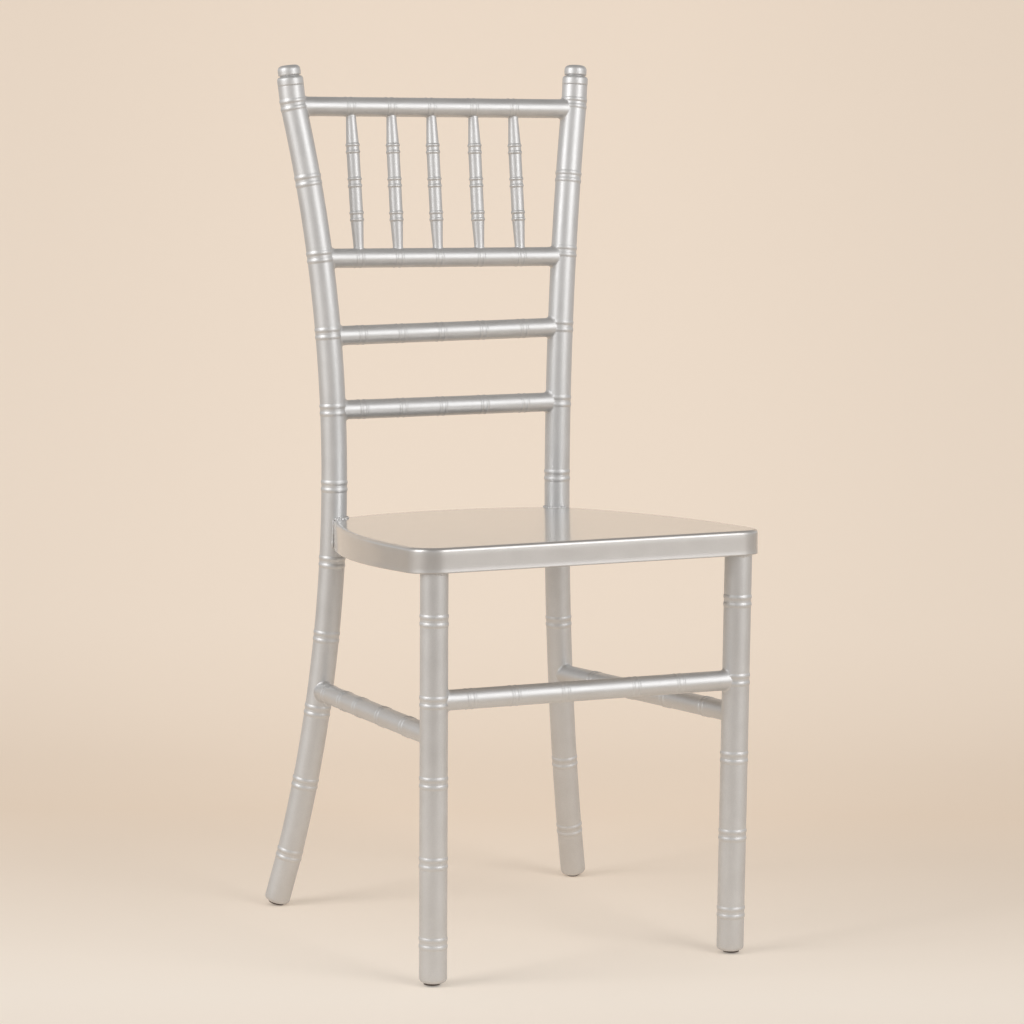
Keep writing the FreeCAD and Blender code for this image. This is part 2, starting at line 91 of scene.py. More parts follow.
# Rounding at the feet of posts and legs, and how far a ring pair reaches along them
FOOT_ROUND = 4.5
RING_REACH = 7.2

# Seat: the top's height over the front legs and its fall to the rear, the sheet, the rounding of its edge, the
# outline's front and rear measured from the legs, and the rim's depth at both
SEAT_HEIGHT = 449.6
SEAT_SLOPE = math.radians(2.75)
SHEET = 1.8
SEAT_EDGE = 4.0
SEAT_FRONT, SEAT_REAR = -17.5, 346.7
RIM_FRONT, RIM_REAR = 25.6, 31.0


# Meshes

def piece(name, shape, material, replaces=None):
    """A piece of the chair from points in millimetres and faces."""
    points, faces = shape
    mesh = bpy.data.meshes.new(name)
    mesh.from_pydata([tuple(float(c) * MM for c in p) for p in points], [], faces)
    mesh.validate()
    mesh.polygons.foreach_set("use_smooth", [True] * len(mesh.polygons))
    mesh.materials.append(material)
    mesh.update()
    made = bpy.data.objects.new(name, mesh)
    bpy.context.scene.collection.objects.link(made)
    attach(made, "root")
    if replaces:
        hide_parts(replaces)


def skin(rows):
    """Points and faces of a closed-ended tube through rows of points, each row a closed loop."""
    rows = [np.asarray(row, float) for row in rows]
    count = len(rows[0])
    last = (len(rows) - 1) * count
    faces = []
    for a in range(0, last, count):
        b = a + count
        for j in range(count):
            k = (j + 1) % count
            faces.append((a + j, a + k, b + k, b + j))
    faces.append(tuple(range(count))[::-1])
    faces.append(tuple(last + j for j in range(count)))
    return np.concatenate(rows), faces


def ring_of(count):
    """Angles evenly round a circle."""
    return [2 * math.pi * i / count for i in range(count)]


def mirror(points, faces):
    """The same mesh on the other side of the chair."""
    flipped = np.array(points) * np.array([-1.0, 1.0, 1.0])
    return flipped, [face[::-1] for face in faces]


# Profiles

def bead_pair(along, spread, width, height):
    """Height of a pair of round beads at a distance from the middle between them."""
    rise = 0.0
    for side in (-0.5, 0.5):
        off = abs(along - side * spread) / (width / 2)
        if off < 1:
            rise = max(rise, height * math.cos(off * math.pi / 2) ** 0.8)
    return rise


def samples(start, stop, centres, reach, coarse=6.0, fine=0.45):
    """Stations along a tube: close together near bead pairs, wide apart elsewhere."""
    found = [start]
    while found[-1] < stop - 1e-6:
        here = found[-1]
        near = min((abs(here - c) for c in centres), default=1e9)
        if near < reach + 0.01:
            pace = fine
        else:
            ahead = [c - reach - here for c in centres if c - reach > here]
            pace = min([coarse] + [max(a, 0.05) for a in ahead])
        found.append(min(here + pace, stop))
    return found


def meet(origin, heading, point, axis, radius):
    """Where a line enters and leaves a round bar, as distances along its heading from its origin."""
    axis = axis / np.linalg.norm(axis)
    across = heading - axis * (heading @ axis)
    offset = origin - point
    offset = offset - axis * (offset @ axis)
    a = across @ across
    b = 2 * across @ offset
    c = offset @ offset - radius ** 2
    root = math.sqrt(max(b * b - 4 * a * c, 0.0))
    return (-b - root) / (2 * a), (-b + root) / (2 * a)


def quarter_round(distance, size):
    """How far a quarter-round edge of some size stands off at a distance from where it starts."""
    if distance >= size:
        return 0.0
    return size - math.sqrt(max(size ** 2 - (size - distance) ** 2, 0.0))


def bridge(start, stop, radius_at, start_bar, stop_bar, weld, centres, reach, segments=56):
    """A round bar between two others, its welded ends flared onto them and closed inside them.

    radius_at gives the bar's radius at a distance from start. The bars it meets are
    given as a point, a direction and a radius.
    """
    start, stop = np.array(start, float), np.array(stop, float)
    length = np.linalg.norm(stop - start)
    heading = (stop - start) / length
    side = np.cross(heading, UP if abs(heading[2]) < 0.9 else np.array([0.0, 1.0, 0.0]))
    side /= np.linalg.norm(side)
    top = np.cross(side, heading)
    spokes = [math.cos(t) * side + math.sin(t) * top for t in ring_of(segments)]
    shares = [(i / 7) ** 1.6 for i in range(8)]

    def end_rows(bar, here, sign):
        """Rows from inside the bar met, out over the weld; sign is 1 at the start."""
        point, axis = np.array(bar[0], float), np.array(bar[1], float)
        beside = np.cross(heading, axis)
        beside /= np.linalg.norm(beside)
        closing = here + heading * sign * bar[2] * 0.35
        found = [[closing + spoke * 0.45 * RAIL * bar[2] / TUBE for spoke in spokes]]
        for share in shares:
            row = []
            for spoke in spokes:
                size = weld * (1 - 0.75 * (spoke @ beside) ** 2)
                off = size * share
                radius = radius_at(bar[2] + off) + quarter_round(off, size)
                base = start + spoke * radius
                met = meet(base, heading, point, axis, bar[2])[1 if sign > 0 else 0]
                row.append(base + heading * (met + sign * (off - 0.5)))
            found.append(row)
        return found

    rows = end_rows(start_bar, start, 1)
    for s in samples(start_bar[2] + weld + 3, length - stop_bar[2] - weld - 3, centres, reach):
        rows.append([start + heading * s + spoke * radius_at(s) for spoke in spokes])
    rows += end_rows(stop_bar, stop, -1)[::-1]
    return skin([row[::-1] for row in rows])


def turned(profile, origin, axis, segments=72):
    """A turned piece: (height, radius) pairs about an axis through an origin."""
    axis = axis / np.linalg.norm(axis)
    side = np.cross(axis, np.array([0.0, 1.0, 0.0]))
    side /= np.linalg.norm(side)
    top = np.cross(axis, side)
    rows = []
    for height, radius in profile:
        rows.append([
            origin + axis * height + radius * (math.cos(t) * side + math.sin(t) * top)
            for t in ring_of(segments)
        ])
    return skin(rows)


def arc_profile(centre, radius, first, last, count):
    """(height, radius) pairs round part of a circle; first and last are degrees from the axis."""
    found = []
    for i in range(count + 1):
        t = math.radians(first + (last - first) * i / count)
        found.append((centre[0] + radius * math.cos(t), centre[1] + radius * math.sin(t)))
    return found


# The right rear post's axis

def post_point(step):
    """A point of the post's bend, in ring spacings above the waist, and the tube's direction there."""
    angle = step * STEP
    point = WAIST + OUTWARD * BEND * (1 - math.cos(angle)) + ALONG * BEND * math.sin(angle)
    return point, OUTWARD * math.sin(angle) + ALONG * math.cos(angle)


def post_axis(distance):
    """The same by distance from the waist, with the straight ends; a short bend leads to the upper one."""
    reach, bend = LAST * STEP * BEND, 12.0
    beyond = abs(distance) - reach
    side = 1 if distance > 0 else -1
    if beyond <= (0 if side < 0 else -bend):
        return post_point(distance / (STEP * BEND))
    point, before = post_point(side * LAST)
    tilt = TOP_TILT if side > 0 else -FOOT_TILT
    after = OUTWARD * math.sin(tilt) + ALONG * math.cos(tilt)
    if side > 0 and beyond < bend:
        share = (beyond + bend) / (2 * bend)
        direction = before * (1 - share) + after * share
        point = point - before * bend * (1 - share) ** 2 + after * bend * share ** 2
        return point, direction / np.linalg.norm(direction)
    return point + after * side * beyond, after


RING_STEPS = [i * STEP * BEND for i in range(-LAST, LAST + 1)]
POST_TOP = LAST * STEP * BEND + TOP_RUN
POST_FOOT = -(LAST * STEP * BEND + FOOT_RUN)


def ring_rise(distance, centres):
    """How far the ring pairs of a post or leg stand proud at a distance along it."""
    return max(bead_pair(distance - c, 7.9, 5.0, 0.6) for c in centres)


def foot_stations(foot):
    """Stations over the rounding at the foot of a post or leg."""
    return [foot + FOOT_ROUND * (1 - math.cos(math.pi / 2 * i / 8)) for i in range(8)]


def rear_post_mesh(segments=64):
    rows = []
    stations = foot_stations(POST_FOOT)
    stations += samples(POST_FOOT + FOOT_ROUND, POST_TOP - 0.4, RING_STEPS, RING_REACH) + [POST_TOP]
    across = np.cross(OUTWARD, ALONG)
    for s in stations:
        point, direction = post_axis(s)
        inward = np.cross(direction, across)
        radius = TUBE + ring_rise(s, RING_STEPS) - quarter_round(s - POST_FOOT, FOOT_ROUND)
        if s == POST_TOP:
            radius -= 0.2
        rows.append([
            point + radius * (math.cos(t) * across + math.sin(t) * inward)
            for t in ring_of(segments)
        ])
    return skin([row[::-1] for row in rows])


# Materials

def node(tree, kind, **settings):
    made = tree.nodes.new(kind)
    for key, value in settings.items():
        setattr(made, key, value)
    return made


def texture(tree, kind, place, scale, detail=None, **settings):
    """A texture in the object's own coordinates."""
    made = node(tree, kind, **settings)
    made.inputs["Scale"].default_value = scale
    if detail is not None:
        made.inputs["Detail"].default_value = detail
    tree.links.new(place.outputs["Object"], made.inputs["Vector"])
    return made


def ranged(tree, source, low, high, to_low, to_high, **settings):
    """The source carried from one range to another."""
    made = node(tree, "ShaderNodeMapRange", **settings)
    for key, value in (("From Min", low), ("From Max", high), ("To Min", to_low), ("To Max", to_high)):
        made.inputs[key].default_value = value
    tree.links.new(source, made.inputs["Value"])
    return made.outputs["Result"]


def reckoned(tree, operation, first, second, **settings):
    made = node(tree, "ShaderNodeMath", operation=operation, **settings)
    tree.links.new(first, made.inputs[0])
    tree.links.new(second, made.inputs[1])
    return made.outputs[0]


def bumped(tree, source, strength, distance, shader):
    bump = node(tree, "ShaderNodeBump")
    bump.inputs["Strength"].default_value = strength
    bump.inputs["Distance"].default_value = distance
    tree.links.new(source, bump.inputs["Height"])
    tree.links.new(bump.outputs["Normal"], shader.inputs["Normal"])


def new_material(name):
    material = bpy.data.materials.new(name)
    material.use_nodes = True
    return material, material.node_tree, material.node_tree.nodes["Principled BSDF"]


def silver_paint(name, tint, roughness, flake, coat, gloss=0.22, metallic=0.92, ripple=0.02,
                 flat_roughness=None):
    """Silver lacquer: fine bright flakes under a clear coat, with slight unevenness from spraying."""
    material, tree, shader = new_material(name)
    shader.inputs["Metallic"].default_value = metallic
    shader.inputs["Coat Weight"].default_value = coat
    shader.inputs["Coat Roughness"].default_value = gloss
    shader.inputs["IOR"].default_value = 1.5
    place = node(tree, "ShaderNodeTexCoord")
    flakes = texture(tree, "ShaderNodeTexVoronoi", place, 2600, feature="F1")
    cloud = texture(tree, "ShaderNodeTexNoise", place, 38, 5)
    grain = texture(tree, "ShaderNodeTexNoise", place, 420, 3)
    sparkle = ranged(tree, flakes.outputs["Distance"], 0.0, 0.8, 1.0 - flake, 1.0 + flake)
    patch = ranged(tree, cloud.outputs["Fac"], 0.3, 0.7, 0.97, 1.03)
    colour = node(tree, "ShaderNodeMix", data_type="RGBA", blend_type="MULTIPLY")
    colour.inputs["Factor"].default_value = 1.0
    colour.inputs[6].default_value = (*tint, 1)
    tree.links.new(reckoned(tree, "MULTIPLY", sparkle, patch), colour.inputs[7])
    tree.links.new(colour.outputs[2], shader.inputs["Base Color"])
    rough = ranged(tree, cloud.outputs["Fac"], 0.3, 0.7, roughness - 0.03, roughness + 0.03)
    if flat_roughness:
        # The paint runs out smoother on a face that lies flat than on one that hangs.
        facing = node(tree, "ShaderNodeSeparateXYZ")
        tree.links.new(place.outputs["Normal"], facing.inputs["Vector"])
        gain = ranged(tree, facing.outputs["Z"], 0.93, 0.99, 0.0, flat_roughness - roughness,
                      interpolation_type="SMOOTHSTEP")
        rough = reckoned(tree, "ADD", rough, gain)
    tree.links.new(rough, shader.inputs["Roughness"])
    bumped(tree, grain.outputs["Fac"], ripple, 0.001, shader)
    return material


def moulded_plastic(name, tint):
    """Dark matt plastic, slightly mottled."""
    material, tree, shader = new_material(name)
    place = node(tree, "ShaderNodeTexCoord")
    speck = texture(tree, "ShaderNodeTexNoise", place, 300, 4)
    ramp = node(tree, "ShaderNodeValToRGB")
    ramp.color_ramp.elements[0].color = (*[c * 0.75 for c in tint], 1)
    ramp.color_ramp.elements[1].color = (*[min(c * 1.35, 1) for c in tint], 1)
    tree.links.new(speck.outputs["Fac"], ramp.inputs["Fac"])
    tree.links.new(ramp.outputs["Color"], shader.inputs["Base Color"])
    tree.links.new(ranged(tree, speck.outputs["Fac"], 0.0, 1.0, 0.5, 0.7), shader.inputs["Roughness"])
    bumped(tree, speck.outputs["Fac"], 0.15, 0.0005, shader)
    return material


SILVER = silver_paint("silver_frame", (0.64, 0.64, 0.64), 0.50, 0.08, 0.12)
SEAT_SILVER = silver_paint("silver_seat", (0.57, 0.555, 0.54), 0.42, 0.05, 1.0,
                           gloss=0.10, metallic=1.0, ripple=0.003, flat_roughness=0.34)
PLASTIC = moulded_plastic("glide_plastic", (0.085, 0.06, 0.045))


# Rear posts

post_shape = rear_post_mesh()
piece("rear_post_right_tube", post_shape, SILVER, "rear_post_right")
piece("rear_post_left_tube", mirror(*post_shape), SILVER, "rear_post_left")


# Finials

def finial_mesh():
    """Skirt, round shoulder, neck, small ring and knob, as heights above the post's end and radii."""
    origin, axis = post_axis(POST_TOP)
    profile = [(-3, 9), (0.02, 13.75), (0.3, 14.05), (1.5, 14.15), (4.5, 14.15)]
    profile += arc_profile((6.2, 10.35), 3.8, 90, 0, 12)
    profile += [(10.05, 10.35), (10.9, 10.6)]
    profile += arc_profile((12.0, 11.3), 1.0, 200, 110, 5)
    profile += [(12.8, 12.2), (14.6, 12.35)]
    profile += arc_profile((16.4, 6.9), 5.5, 82, 8, 14)
    profile += [(21.85, 5.2), (21.9, 2.5), (21.9, 0.3)]
    return turned(profile, origin, axis)


finial_shape = finial_mesh()
both_points, both_faces = mirror(*finial_shape)
count = len(finial_shape[0])
finials = (np.concatenate([finial_shape[0], both_points]),
           list(finial_shape[1]) + [tuple(i + count for i in face) for face in both_faces])
piece("finials_turned", finials, SILVER, "finials")


# Front legs

LEG_RINGS = [44.7 + PITCH * i for i in range(5)]


def leg_x(z):
    """How far a front leg's axis is from the middle at a height; the tops lean a little outwards."""
    return LEG_X_LOW + (LEG_X_HIGH - LEG_X_LOW) * (z - LEG_FOOT) / (LEG_TOP - LEG_FOOT)


def front_leg_mesh(segments=64):
    rows = []
    for z in foot_stations(LEG_FOOT) + samples(LEG_FOOT + FOOT_ROUND, LEG_TOP, LEG_RINGS, RING_REACH):
        radius = LEG_TUBE + ring_rise(z, LEG_RINGS) - quarter_round(z - LEG_FOOT, FOOT_ROUND)
        rows.append([
            (leg_x(z) + radius * math.cos(t), LEG_Y + radius * math.sin(t), z)
            for t in ring_of(segments)
        ])
    return skin(rows)


leg_shape = front_leg_mesh()
piece("front_leg_right_tube", leg_shape, SILVER, "front_leg_right")
piece("front_leg_left_tube", mirror(*leg_shape), SILVER, "front_leg_left")


# Back rails and stretchers

def rail_radius(centres, spread=6.6, height=0.34):
    """The radius of a rail or stretcher by the distance along it."""
    return lambda s: RAIL + max((bead_pair(s - c, spread, 3.4, height) for c in centres), default=0)


# Where each spindle meets the top rail and the spindle rail, from the middle
SPINDLES = ((-102.0, -100.6), (-54.1, -54.1), (-6.4, -6.5), (44.2, 43.5), (92.8, 92.9))

# The ring of the post that a rail hangs under, how far below it, and the fall from the left end to the right
TOP_RAIL, TOP_FALL = (5, 3.8), 4.2
SPINDLE_RAIL, SPINDLE_FALL = (3, 3.7), 3.6


def rail_end(step, drop):
    """Where a rail's axis meets the right post, some way below one of its rings."""
    tilt = (step - 0.5) * STEP
    point, _ = post_point(step)
    direction = OUTWARD * math.sin(tilt) + ALONG * math.cos(tilt)
    return point - direction * drop, direction


def back_rail(name, step, drop, fall, place):
    """fall is how much lower the right end is than the left one; place is a spindle's end."""
    flip = np.array([-1.0, 1.0, 1.0])
    right, direction = rail_end(step, drop + fall / 2)
    left, _ = rail_end(step, drop - fall / 2)
    centres = [right[0] + pair[place] - 2.0 for pair in SPINDLES]
    shape = bridge(left * flip, right, rail_radius(centres), (left * flip, direction * flip, TUBE),
                   (right, direction, TUBE), 5.0, centres, 6.0)
    piece(name + "_tube", shape, SILVER, name)


back_rail("top_rail", *TOP_RAIL, TOP_FALL, 0)
back_rail("spindle_rail", *SPINDLE_RAIL, SPINDLE_FALL, 1)
back_rail("middle_rail", 2, 2.2, -2.2, 1)
back_rail("lower_rail", 1, 1.0, 0.4, 1)

FRONT_RINGS = (-135.0, -85.2, -29.1, 51.8, 103.9)
front_x = leg_x(292)
front_left = np.array([-front_x, LEG_Y, 292.8])
front_right = np.array([front_x, LEG_Y, 291.5])
front_centres = [front_x + x for x in FRONT_RINGS]
front_shape = bridge(front_left, front_right, rail_radius(front_centres), (front_left, UP, LEG_TUBE),
                     (front_right, UP, LEG_TUBE), 4.5, front_centres, 6.0)
piece("front_stretcher_tube", front_shape, SILVER, "front_stretcher")


def side_stretcher(name, rings, side):
    """From a front leg to a rear post; side is 1 on the right."""
    step = (242.5 - WAIST[2]) / math.cos(LEAN) / BEND
    rear, direction = post_point(math.asin(step) / STEP)
    flip = np.array([side, 1.0, 1.0])
    front = np.array([leg_x(256), LEG_Y, 256.2]) * flip
    shape = bridge(front, rear * flip, rail_radius(rings, 7.6, 0.6), (front, UP, LEG_TUBE),
                   (rear * flip, direction * flip, TUBE), 4.0, rings, 6.0)
    piece(name + "_tube", shape, SILVER, name)


side_stretcher("left_stretcher", [72.4, 146.8, 219.3, 268.9, 321.6], -1)
side_stretcher("right_stretcher", [52.0, 129.5, 205.0, 280.0], 1)


# Spindles

low_rail, _ = rail_end(*SPINDLE_RAIL)
high_rail, _ = rail_end(*TOP_RAIL)
spindle_length = math.hypot(high_rail[1] - low_rail[1], high_rail[2] - low_rail[2])
spindle_rings = [spindle_length / 2 + k * 36.8 for k in (-1, 0, 1)]


def spindle_radius(s):
    """Full width between the outer ring pairs, and narrower towards both rails."""
    half, full_width = spindle_length / 2, 39.0
    beyond = max(abs(s - half) - full_width, 0.0)
    share = min(beyond / (half - full_width - RAIL), 1.0)
    base = 7.1 - 1.7 * share
    return base + max(bead_pair(s - c, 7.6, 3.8, 0.8) for c in spindle_rings)


ALONG_X = np.array([1.0, 0.0, 0.0])
for number, (top_x, low_x) in enumerate(SPINDLES, 1):
    low = np.array([low_x, low_rail[1], low_rail[2] - low_x / 150 * SPINDLE_FALL / 2])
    high = np.array([top_x, high_rail[1], high_rail[2] - top_x / 157 * TOP_FALL / 2])
    shape = bridge(low, high, spindle_radius, (low, ALONG_X, RAIL), (high, ALONG_X, RAIL),
                   2.2, spindle_rings, 6.2, segments=40)
    piece(f"spindle_{number}_turned", shape, SILVER, f"spindle_{number}")


# Seat pan

def seat_loop(inset, per_corner=14, per_side=60):
    """The seat's outline, moved in by some distance, anticlockwise from above.

    The front is straight with round corners. The sides curve in from start to the
    rear, which bulges out.
    """
    half, front, corner, start = 199.0, SEAT_FRONT, 30.0, 50.0
    rear_half, rear, bulge = 135.5, SEAT_REAR, 33.0
    side = ((half - rear_half) ** 2 + (rear - start) ** 2) / (2 * (half - rear_half))
    across = (rear_half ** 2 + bulge ** 2) / (2 * bulge)
    sweep = math.asin((rear - start) / side)
    rear_sweep = math.asin(rear_half / across)
    rear_centre = rear + bulge - across
    right = []
    for i in range(24):
        right.append((i / 24 * (half - corner), front + inset))
    for i in range(per_corner + 1):
        t = -math.pi / 2 + math.pi / 2 * i / per_corner
        right.append((half - corner + (corner - inset) * math.cos(t),
                      front + corner + (corner - inset) * math.sin(t)))
    for i in range(1, 8):
        right.append((half - inset, front + corner + (start - front - corner) * i / 8))
    for i in range(per_side + 1):
        t = sweep * i / per_side
        right.append((half - side + (side - inset) * math.cos(t), start + (side - inset) * math.sin(t)))
    for i in range(1, per_side + 1):
        t = math.pi / 2 - rear_sweep * (1 - (1.4 if i == 1 else i) / per_side)
        right.append(((across - inset) * math.cos(t), rear_centre + (across - inset) * math.sin(t)))
    left = [(-x, y) for x, y in right[1:-1]][::-1]
    return right + left


def seat_point(x, y, depth):
    """A point under the seat's top, in the frame of the chair."""
    c, s = math.cos(SEAT_SLOPE), math.sin(SEAT_SLOPE)
    return (x, LEG_Y + y * c - depth * s, SEAT_HEIGHT - y * s - depth * c)


def rim_depth(y):
    """Depth of the turned-down rim, which grows towards the rear."""
    return RIM_FRONT + (RIM_REAR - RIM_FRONT) / (SEAT_REAR - SEAT_FRONT) * (y - SEAT_FRONT)


def seat_mesh():
    """Top sheet, rounded edge, rim, and the inside of both."""
    sheet, edge = SHEET, SEAT_EDGE
    rows = []
    flat = seat_loop(edge)
    middle = (0.0, 165.0)
    for share in (0.985, 1.0):
        rows.append([seat_point(middle[0] + (x - middle[0]) * share, middle[1] + (y - middle[1]) * share, 0)
                     for x, y in flat])
    for i in range(1, 9):
        t = math.pi / 2 * i / 8
        loop = seat_loop(edge * (1 - math.sin(t)))
        rows.append([seat_point(x, y, edge * (1 - math.cos(t))) for x, y in loop])
    inner = seat_loop(sheet)
    for inset, share in ((0.05, 0.2), (0.15, 0.5), (0.2, 0.75), (0.18, 0.86), (0.06, 0.92), (0.0, 0.96)):
        rows.append([seat_point(x, y, edge + (rim_depth(y) - edge) * share) for x, y in seat_loop(inset)])
    rows.append([seat_point(x, y, rim_depth(y) - 0.3) for x, y in seat_loop(0.05)])
    rows.append([seat_point(x, y, rim_depth(y)) for x, y in seat_loop(0.4)])
    rows.append([seat_point(x, y, rim_depth(y)) for x, y in seat_loop(sheet - 0.35)])
    rows.append([seat_point(x, y, rim_depth(y) - 0.5) for x, y in inner])
    rows.append([seat_point(x, y, edge + 1) for x, y in inner])
    for i in range(1, 6):
        t = math.pi / 2 * i / 5
        loop = seat_loop(sheet + (edge - sheet + 0.4) * (1 - math.cos(t)))
        rows.append([seat_point(x, y, edge + 1 - (edge + 1 - sheet) * math.sin(t)) for x, y in loop])
    return skin([row[::-1] for row in rows])


piece("seat_pan_pressed", seat_mesh(), SEAT_SILVER, "seat_pan")


# Weld beads

def weld_bead(path, radius_at, segments=14):
    """An uneven round bead along a path of points; radius_at takes the share of the way along it."""
    path = np.array(path)
    rows = []
    for i, point in enumerate(path):
        heading = path[min(i + 1, len(path) - 1)] - path[max(i - 1, 0)]
        heading /= np.linalg.norm(heading)
        side = np.cross(heading, np.array([0.3, 0.5, 0.81]))
        side /= np.linalg.norm(side)
        top = np.cross(side, heading)
        share = i / (len(path) - 1)
        taper = math.sqrt(max(1 - abs(2 * share - 1) ** 8, 0.003))
        radius = radius_at(share) * taper
        rows.append([point + radius * (math.cos(t) * side + math.sin(t) * top)
                     for t in ring_of(segments)])
    return skin([row[::-1] for row in rows])


SEAT_NORMAL = np.array([0.0, math.sin(SEAT_SLOPE), math.cos(SEAT_SLOPE)])
SEAT_ORIGIN = np.array([0.0, LEG_Y, SEAT_HEIGHT])


def seat_weld(size, blob):
    """Round the front and inside of the right post, where it stands through the seat."""
    centre, direction = post_axis(434.0 - WAIST[2])
    path = []
    for i in range(121):
        turn = math.radians(-208 + 146 * i / 120)
        base = centre + np.array([math.cos(turn), math.sin(turn), 0.0]) * (TUBE + 0.7)
        base = base + direction * ((SEAT_ORIGIN - base) @ SEAT_NORMAL) / (direction @ SEAT_NORMAL)
        path.append(base + SEAT_NORMAL * 0.25)
    return weld_bead(path, lambda t: size * (1 + 0.16 * math.sin(58 * t) + 0.12 * math.sin(23 * t + 1))
                     + blob * math.exp(-((t - 0.10) / 0.07) ** 2))


def rim_weld():
    """Down the right post, where the rim ends against it."""
    path = []
    for i in range(41):
        centre, direction = post_axis(433.5 - WAIST[2] - 31.5 * i / 40)
        turn = math.radians(-66)
        path.append(centre + np.array([math.cos(turn), math.sin(turn), 0.0]) * (TUBE + 0.3))
    return weld_bead(path, lambda t: 1.6 + 0.12 * math.sin(17 * t) + 0.08 * math.sin(41 * t))


def leg_weld():
    """A short bead between the rim's lower edge and the front of the right front leg."""
    path = []
    for i in range(31):
        turn = math.radians(-122 + 56 * i / 30)
        path.append(np.array([leg_x(424) + (LEG_TUBE + 0.1) * math.cos(turn),
                              LEG_Y + (LEG_TUBE + 0.1) * math.sin(turn), 423.9]))
    return weld_bead(path, lambda t: 1.1 + 0.5 * math.exp(-((t - 0.4) / 0.15) ** 2) + 0.2 * math.sin(31 * t))


piece("seat_weld_right", seat_weld(1.0, 0.6), SILVER)
piece("seat_weld_left", mirror(*seat_weld(1.7, 1.3)), SILVER)
for name, shape in (("rim_weld", rim_weld()), ("leg_weld", leg_weld())):
    piece(name + "_right", shape, SILVER)
    piece(name + "_left", mirror(*shape), SILVER)


# Materials of the CAD nodes that stay

for name in ("seat_brace_front", "seat_brace_rear"):
    nodes[name].data.materials.clear()
    nodes[name].data.materials.append(SILVER)
nodes["foot_glides"].data.materials.clear()
nodes["foot_glides"].data.materials.append(PLASTIC)


# Paper sweep, light and camera

CAMERA_TURN = math.radians(-25.78)


# Painted light on the paper: a glow, not a lamp, that stands in for how light falls along it, dark at the
# front, pale on the floor, warmer before the curve, and bright on the wall, dimming upwards. Distances are in
# metres along the paper from under the middle of the chair.
PAPER_PAINTED_LIGHT = (
    (-1.10, (0.06, 0.05, 0.045)),
    (-0.30, (0.22, 0.22, 0.21)),
    (0.60, (0.225, 0.17, 0.12)),
    (1.40, (0.26, 0.22, 0.18)),
    (2.60, (0.20, 0.17, 0.14)),
)
PAPER_TINT = (0.80, 0.70, 0.60)
PAPER_START, PAPER_END = -3.3, 3.4
PAPER_LENGTH = PAPER_END - PAPER_START


def paper_share(place):
    """A place along the paper as a share of its length."""
    return (place - PAPER_START) / PAPER_LENGTH


def paper_material():
    """Warm paper with painted light and shade: a glow a little brighter where it rises behind the chair, and
    painted shade darker far in front of it and towards its sides.
    """
    material, tree, shader = new_material("paper")
    shader.inputs["Roughness"].default_value = 0.95
    shader.inputs["Specular IOR Level"].default_value = 0.05
    along = node(tree, "ShaderNodeUVMap", uv_map="along")
    split = node(tree, "ShaderNodeSeparateXYZ")
    tree.links.new(along.outputs["UV"], split.inputs["Vector"])
    # Painted light: this ramp makes the paper glow brighter or darker along its length, standing in for how the
    # lamps light it.
    glow = node(tree, "ShaderNodeValToRGB")
    ramp = glow.color_ramp
    for i, (place, colour) in enumerate(PAPER_PAINTED_LIGHT):
        stop = ramp.elements[i] if i < 2 else ramp.elements.new(1.0)
        stop.position = paper_share(place)
        stop.color = (*colour, 1)
    tree.links.new(split.outputs["Y"], glow.inputs["Fac"])
    # Painted shade: the paper's colour and its glow are darkened towards its sides and far in front of the
    # chair.
    side = ranged(tree, split.outputs["X"], 0.15, 0.85, 1.0, 0.95, interpolation_type="SMOOTHSTEP")
    front = ranged(tree, split.outputs["Y"], paper_share(-1.7), paper_share(-0.45), 0.55, 1.0,
                   interpolation_type="SMOOTHSTEP")
    painted_shade = reckoned(tree, "MULTIPLY", side, front)
    tint, shine = (node(tree, "ShaderNodeMix", data_type="RGBA", blend_type="MULTIPLY") for _ in range(2))
    for mix, target in ((tint, "Base Color"), (shine, "Emission Color")):
        mix.inputs["Factor"].default_value = 1.0
        tree.links.new(painted_shade, mix.inputs[7])
        tree.links.new(mix.outputs[2], shader.inputs[target])
    tint.inputs[6].default_value = (*PAPER_TINT, 1)
    tree.links.new(glow.outputs["Color"], shine.inputs[6])
    # The brightness shows to the camera and in the metal, and adds no light to the chair or the floor.
    light_path = node(tree, "ShaderNodeLightPath")
    seen = light_path.outputs["Is Camera Ray"]
    for other in ("Is Glossy Ray", "Is Transmission Ray"):
        seen = reckoned(tree, "ADD", seen, light_path.outputs[other], use_clamp=True)
    tree.links.new(seen, shader.inputs["Emission Strength"])
    # The paper is seen from its front only, so that it never hides the chair from behind or below.
    behind = node(tree, "ShaderNodeNewGeometry")
    clear = node(tree, "ShaderNodeBsdfTransparent")
    either = node(tree, "ShaderNodeMixShader")
    tree.links.new(behind.outputs["Backfacing"], either.inputs[0])
    tree.links.new(shader.outputs["BSDF"], either.inputs[1])
    tree.links.new(clear.outputs["BSDF"], either.inputs[2])
    tree.links.new(either.outputs[0], tree.nodes["Material Output"].inputs["Surface"])
    return material


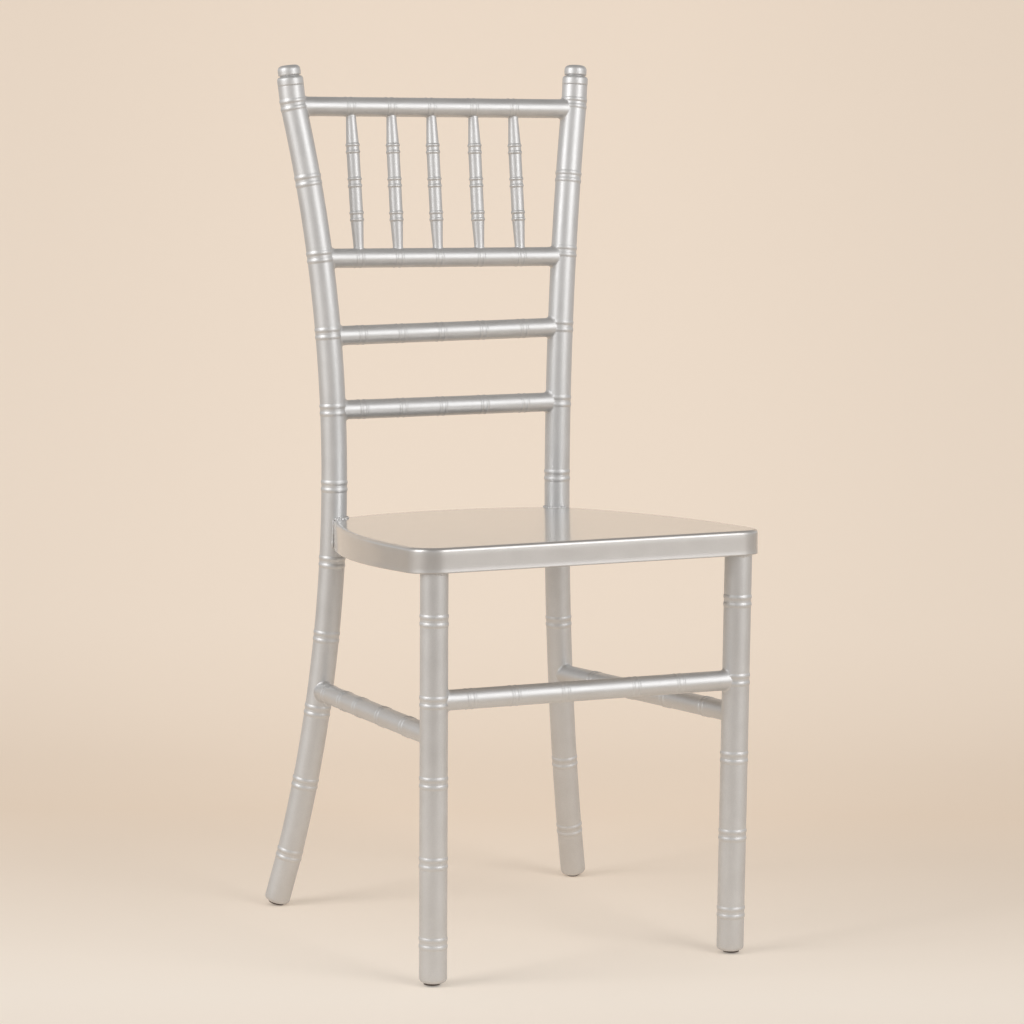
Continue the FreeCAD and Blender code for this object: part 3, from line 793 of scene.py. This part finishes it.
def paper_sweep():
    """A roll of paper: floor, a wide curve and a wall."""
    curve_start, curve_radius, half_width = 0.9, 1.3, 1.7
    profile = [(PAPER_START + 0.3 * i, 0.0) for i in range(14)]
    for i in range(25):
        t = math.pi / 2 * i / 24
        profile.append((curve_start + curve_radius * math.sin(t), curve_radius * (1 - math.cos(t))))
    wall = PAPER_END - curve_start - curve_radius * math.pi / 2
    profile.append((curve_start + curve_radius, curve_radius + wall))
    across = [-half_width + 0.1 * i for i in range(35)]
    points, faces, along = [], [], []
    travelled = 0.0
    for i, (y, z) in enumerate(profile):
        if i:
            travelled += math.dist(profile[i - 1], profile[i])
        for x in across:
            points.append((x, y, z))
            along.append((abs(x), travelled / PAPER_LENGTH))
    width = len(across)
    for i in range(len(profile) - 1):
        for j in range(width - 1):
            a = i * width + j
            faces.append((a, a + 1, a + 1 + width, a + width))
    mesh = bpy.data.meshes.new("paper_sweep")
    mesh.from_pydata(points, [], faces)
    layer = mesh.uv_layers.new(name="along")
    for loop in mesh.loops:
        layer.data[loop.index].uv = along[loop.vertex_index]
    mesh.polygons.foreach_set("use_smooth", [True] * len(mesh.polygons))
    mesh.materials.append(paper_material())
    thing = bpy.data.objects.new("paper_sweep", mesh)
    bpy.context.scene.collection.objects.link(thing)
    thing.rotation_euler = (0, 0, CAMERA_TURN)
    thing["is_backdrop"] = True


paper_sweep()

LAMP_DISTANCE, LAMP_AIM = 2.7, 0.5


def soft_box(name, turn, height, size, radiance):
    """A white rectangular lamp; turn is its bearing in degrees from the chair's front towards +X."""
    lamp = bpy.data.lights.new(name, "AREA")
    lamp.shape = "RECTANGLE"
    lamp.size, lamp.size_y = size
    lamp.energy = radiance * math.pi * size[0] * size[1]
    thing = bpy.data.objects.new(name, lamp)
    bearing = math.radians(turn)
    spot = Vector((math.sin(bearing) * LAMP_DISTANCE, -math.cos(bearing) * LAMP_DISTANCE, height))
    thing.location = spot
    thing.rotation_euler = (Vector((0, 0, LAMP_AIM)) - spot).to_track_quat("-Z", "Y").to_euler()
    bpy.context.scene.collection.objects.link(thing)


soft_box("right_box", 24, 1.75, (1.55, 2.1), 2.75)
soft_box("left_box", -86, 1.85, (1.5, 1.9), 3.8)


def studio_world():
    """A bright room, darker overhead."""
    world = bpy.data.worlds.new("studio")
    bpy.context.scene.world = world
    world.use_nodes = True
    tree = world.node_tree
    place = node(tree, "ShaderNodeTexCoord")
    split = node(tree, "ShaderNodeSeparateXYZ")
    tree.links.new(place.outputs["Generated"], split.inputs["Vector"])
    height = ranged(tree, split.outputs["Z"], -1.0, 1.0, 0.0, 1.0)
    tint = node(tree, "ShaderNodeValToRGB")
    ramp = tint.color_ramp
    ramp.elements[0].position, ramp.elements[0].color = 0.45, (0.55, 0.49, 0.43, 1)
    ramp.elements[1].position, ramp.elements[1].color = 0.54, (0.80, 0.80, 0.80, 1)
    for place, shade in ((0.68, (0.60, 0.59, 0.58)), (0.86, (0.38, 0.36, 0.34))):
        ramp.elements.new(place).color = (*shade, 1)
    tree.links.new(height, tint.inputs["Fac"])
    tree.links.new(tint.outputs["Color"], tree.nodes["Background"].inputs["Color"])


studio_world()

CAMERA_PLACE = (-1.7869, -3.7100, 0.9997)
CAMERA_TILT, CAMERA_ROLL = math.radians(7.57), math.radians(0.57)

camera_data = bpy.data.cameras.new("camera")
camera_data.lens = 137.35
camera_data.sensor_width = 36.0
camera_data.clip_end = 60
camera = bpy.data.objects.new("camera", camera_data)
bpy.context.scene.collection.objects.link(camera)
back = Vector((math.sin(CAMERA_TURN) * math.cos(CAMERA_TILT),
               -math.cos(CAMERA_TURN) * math.cos(CAMERA_TILT),
               math.sin(CAMERA_TILT)))
right = (-back).cross(Vector((0, 0, 1))).normalized()
upright = right.cross(-back)
right, upright = (right * math.cos(CAMERA_ROLL) + upright * math.sin(CAMERA_ROLL),
                  upright * math.cos(CAMERA_ROLL) - right * math.sin(CAMERA_ROLL))
camera.matrix_world = Matrix([(*axes, place) for *axes, place in zip(right, upright, back, CAMERA_PLACE)]
                             + [(0, 0, 0, 1)])
bpy.context.scene.camera = camera
bpy.context.scene.view_settings.view_transform = "Standard"

low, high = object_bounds()
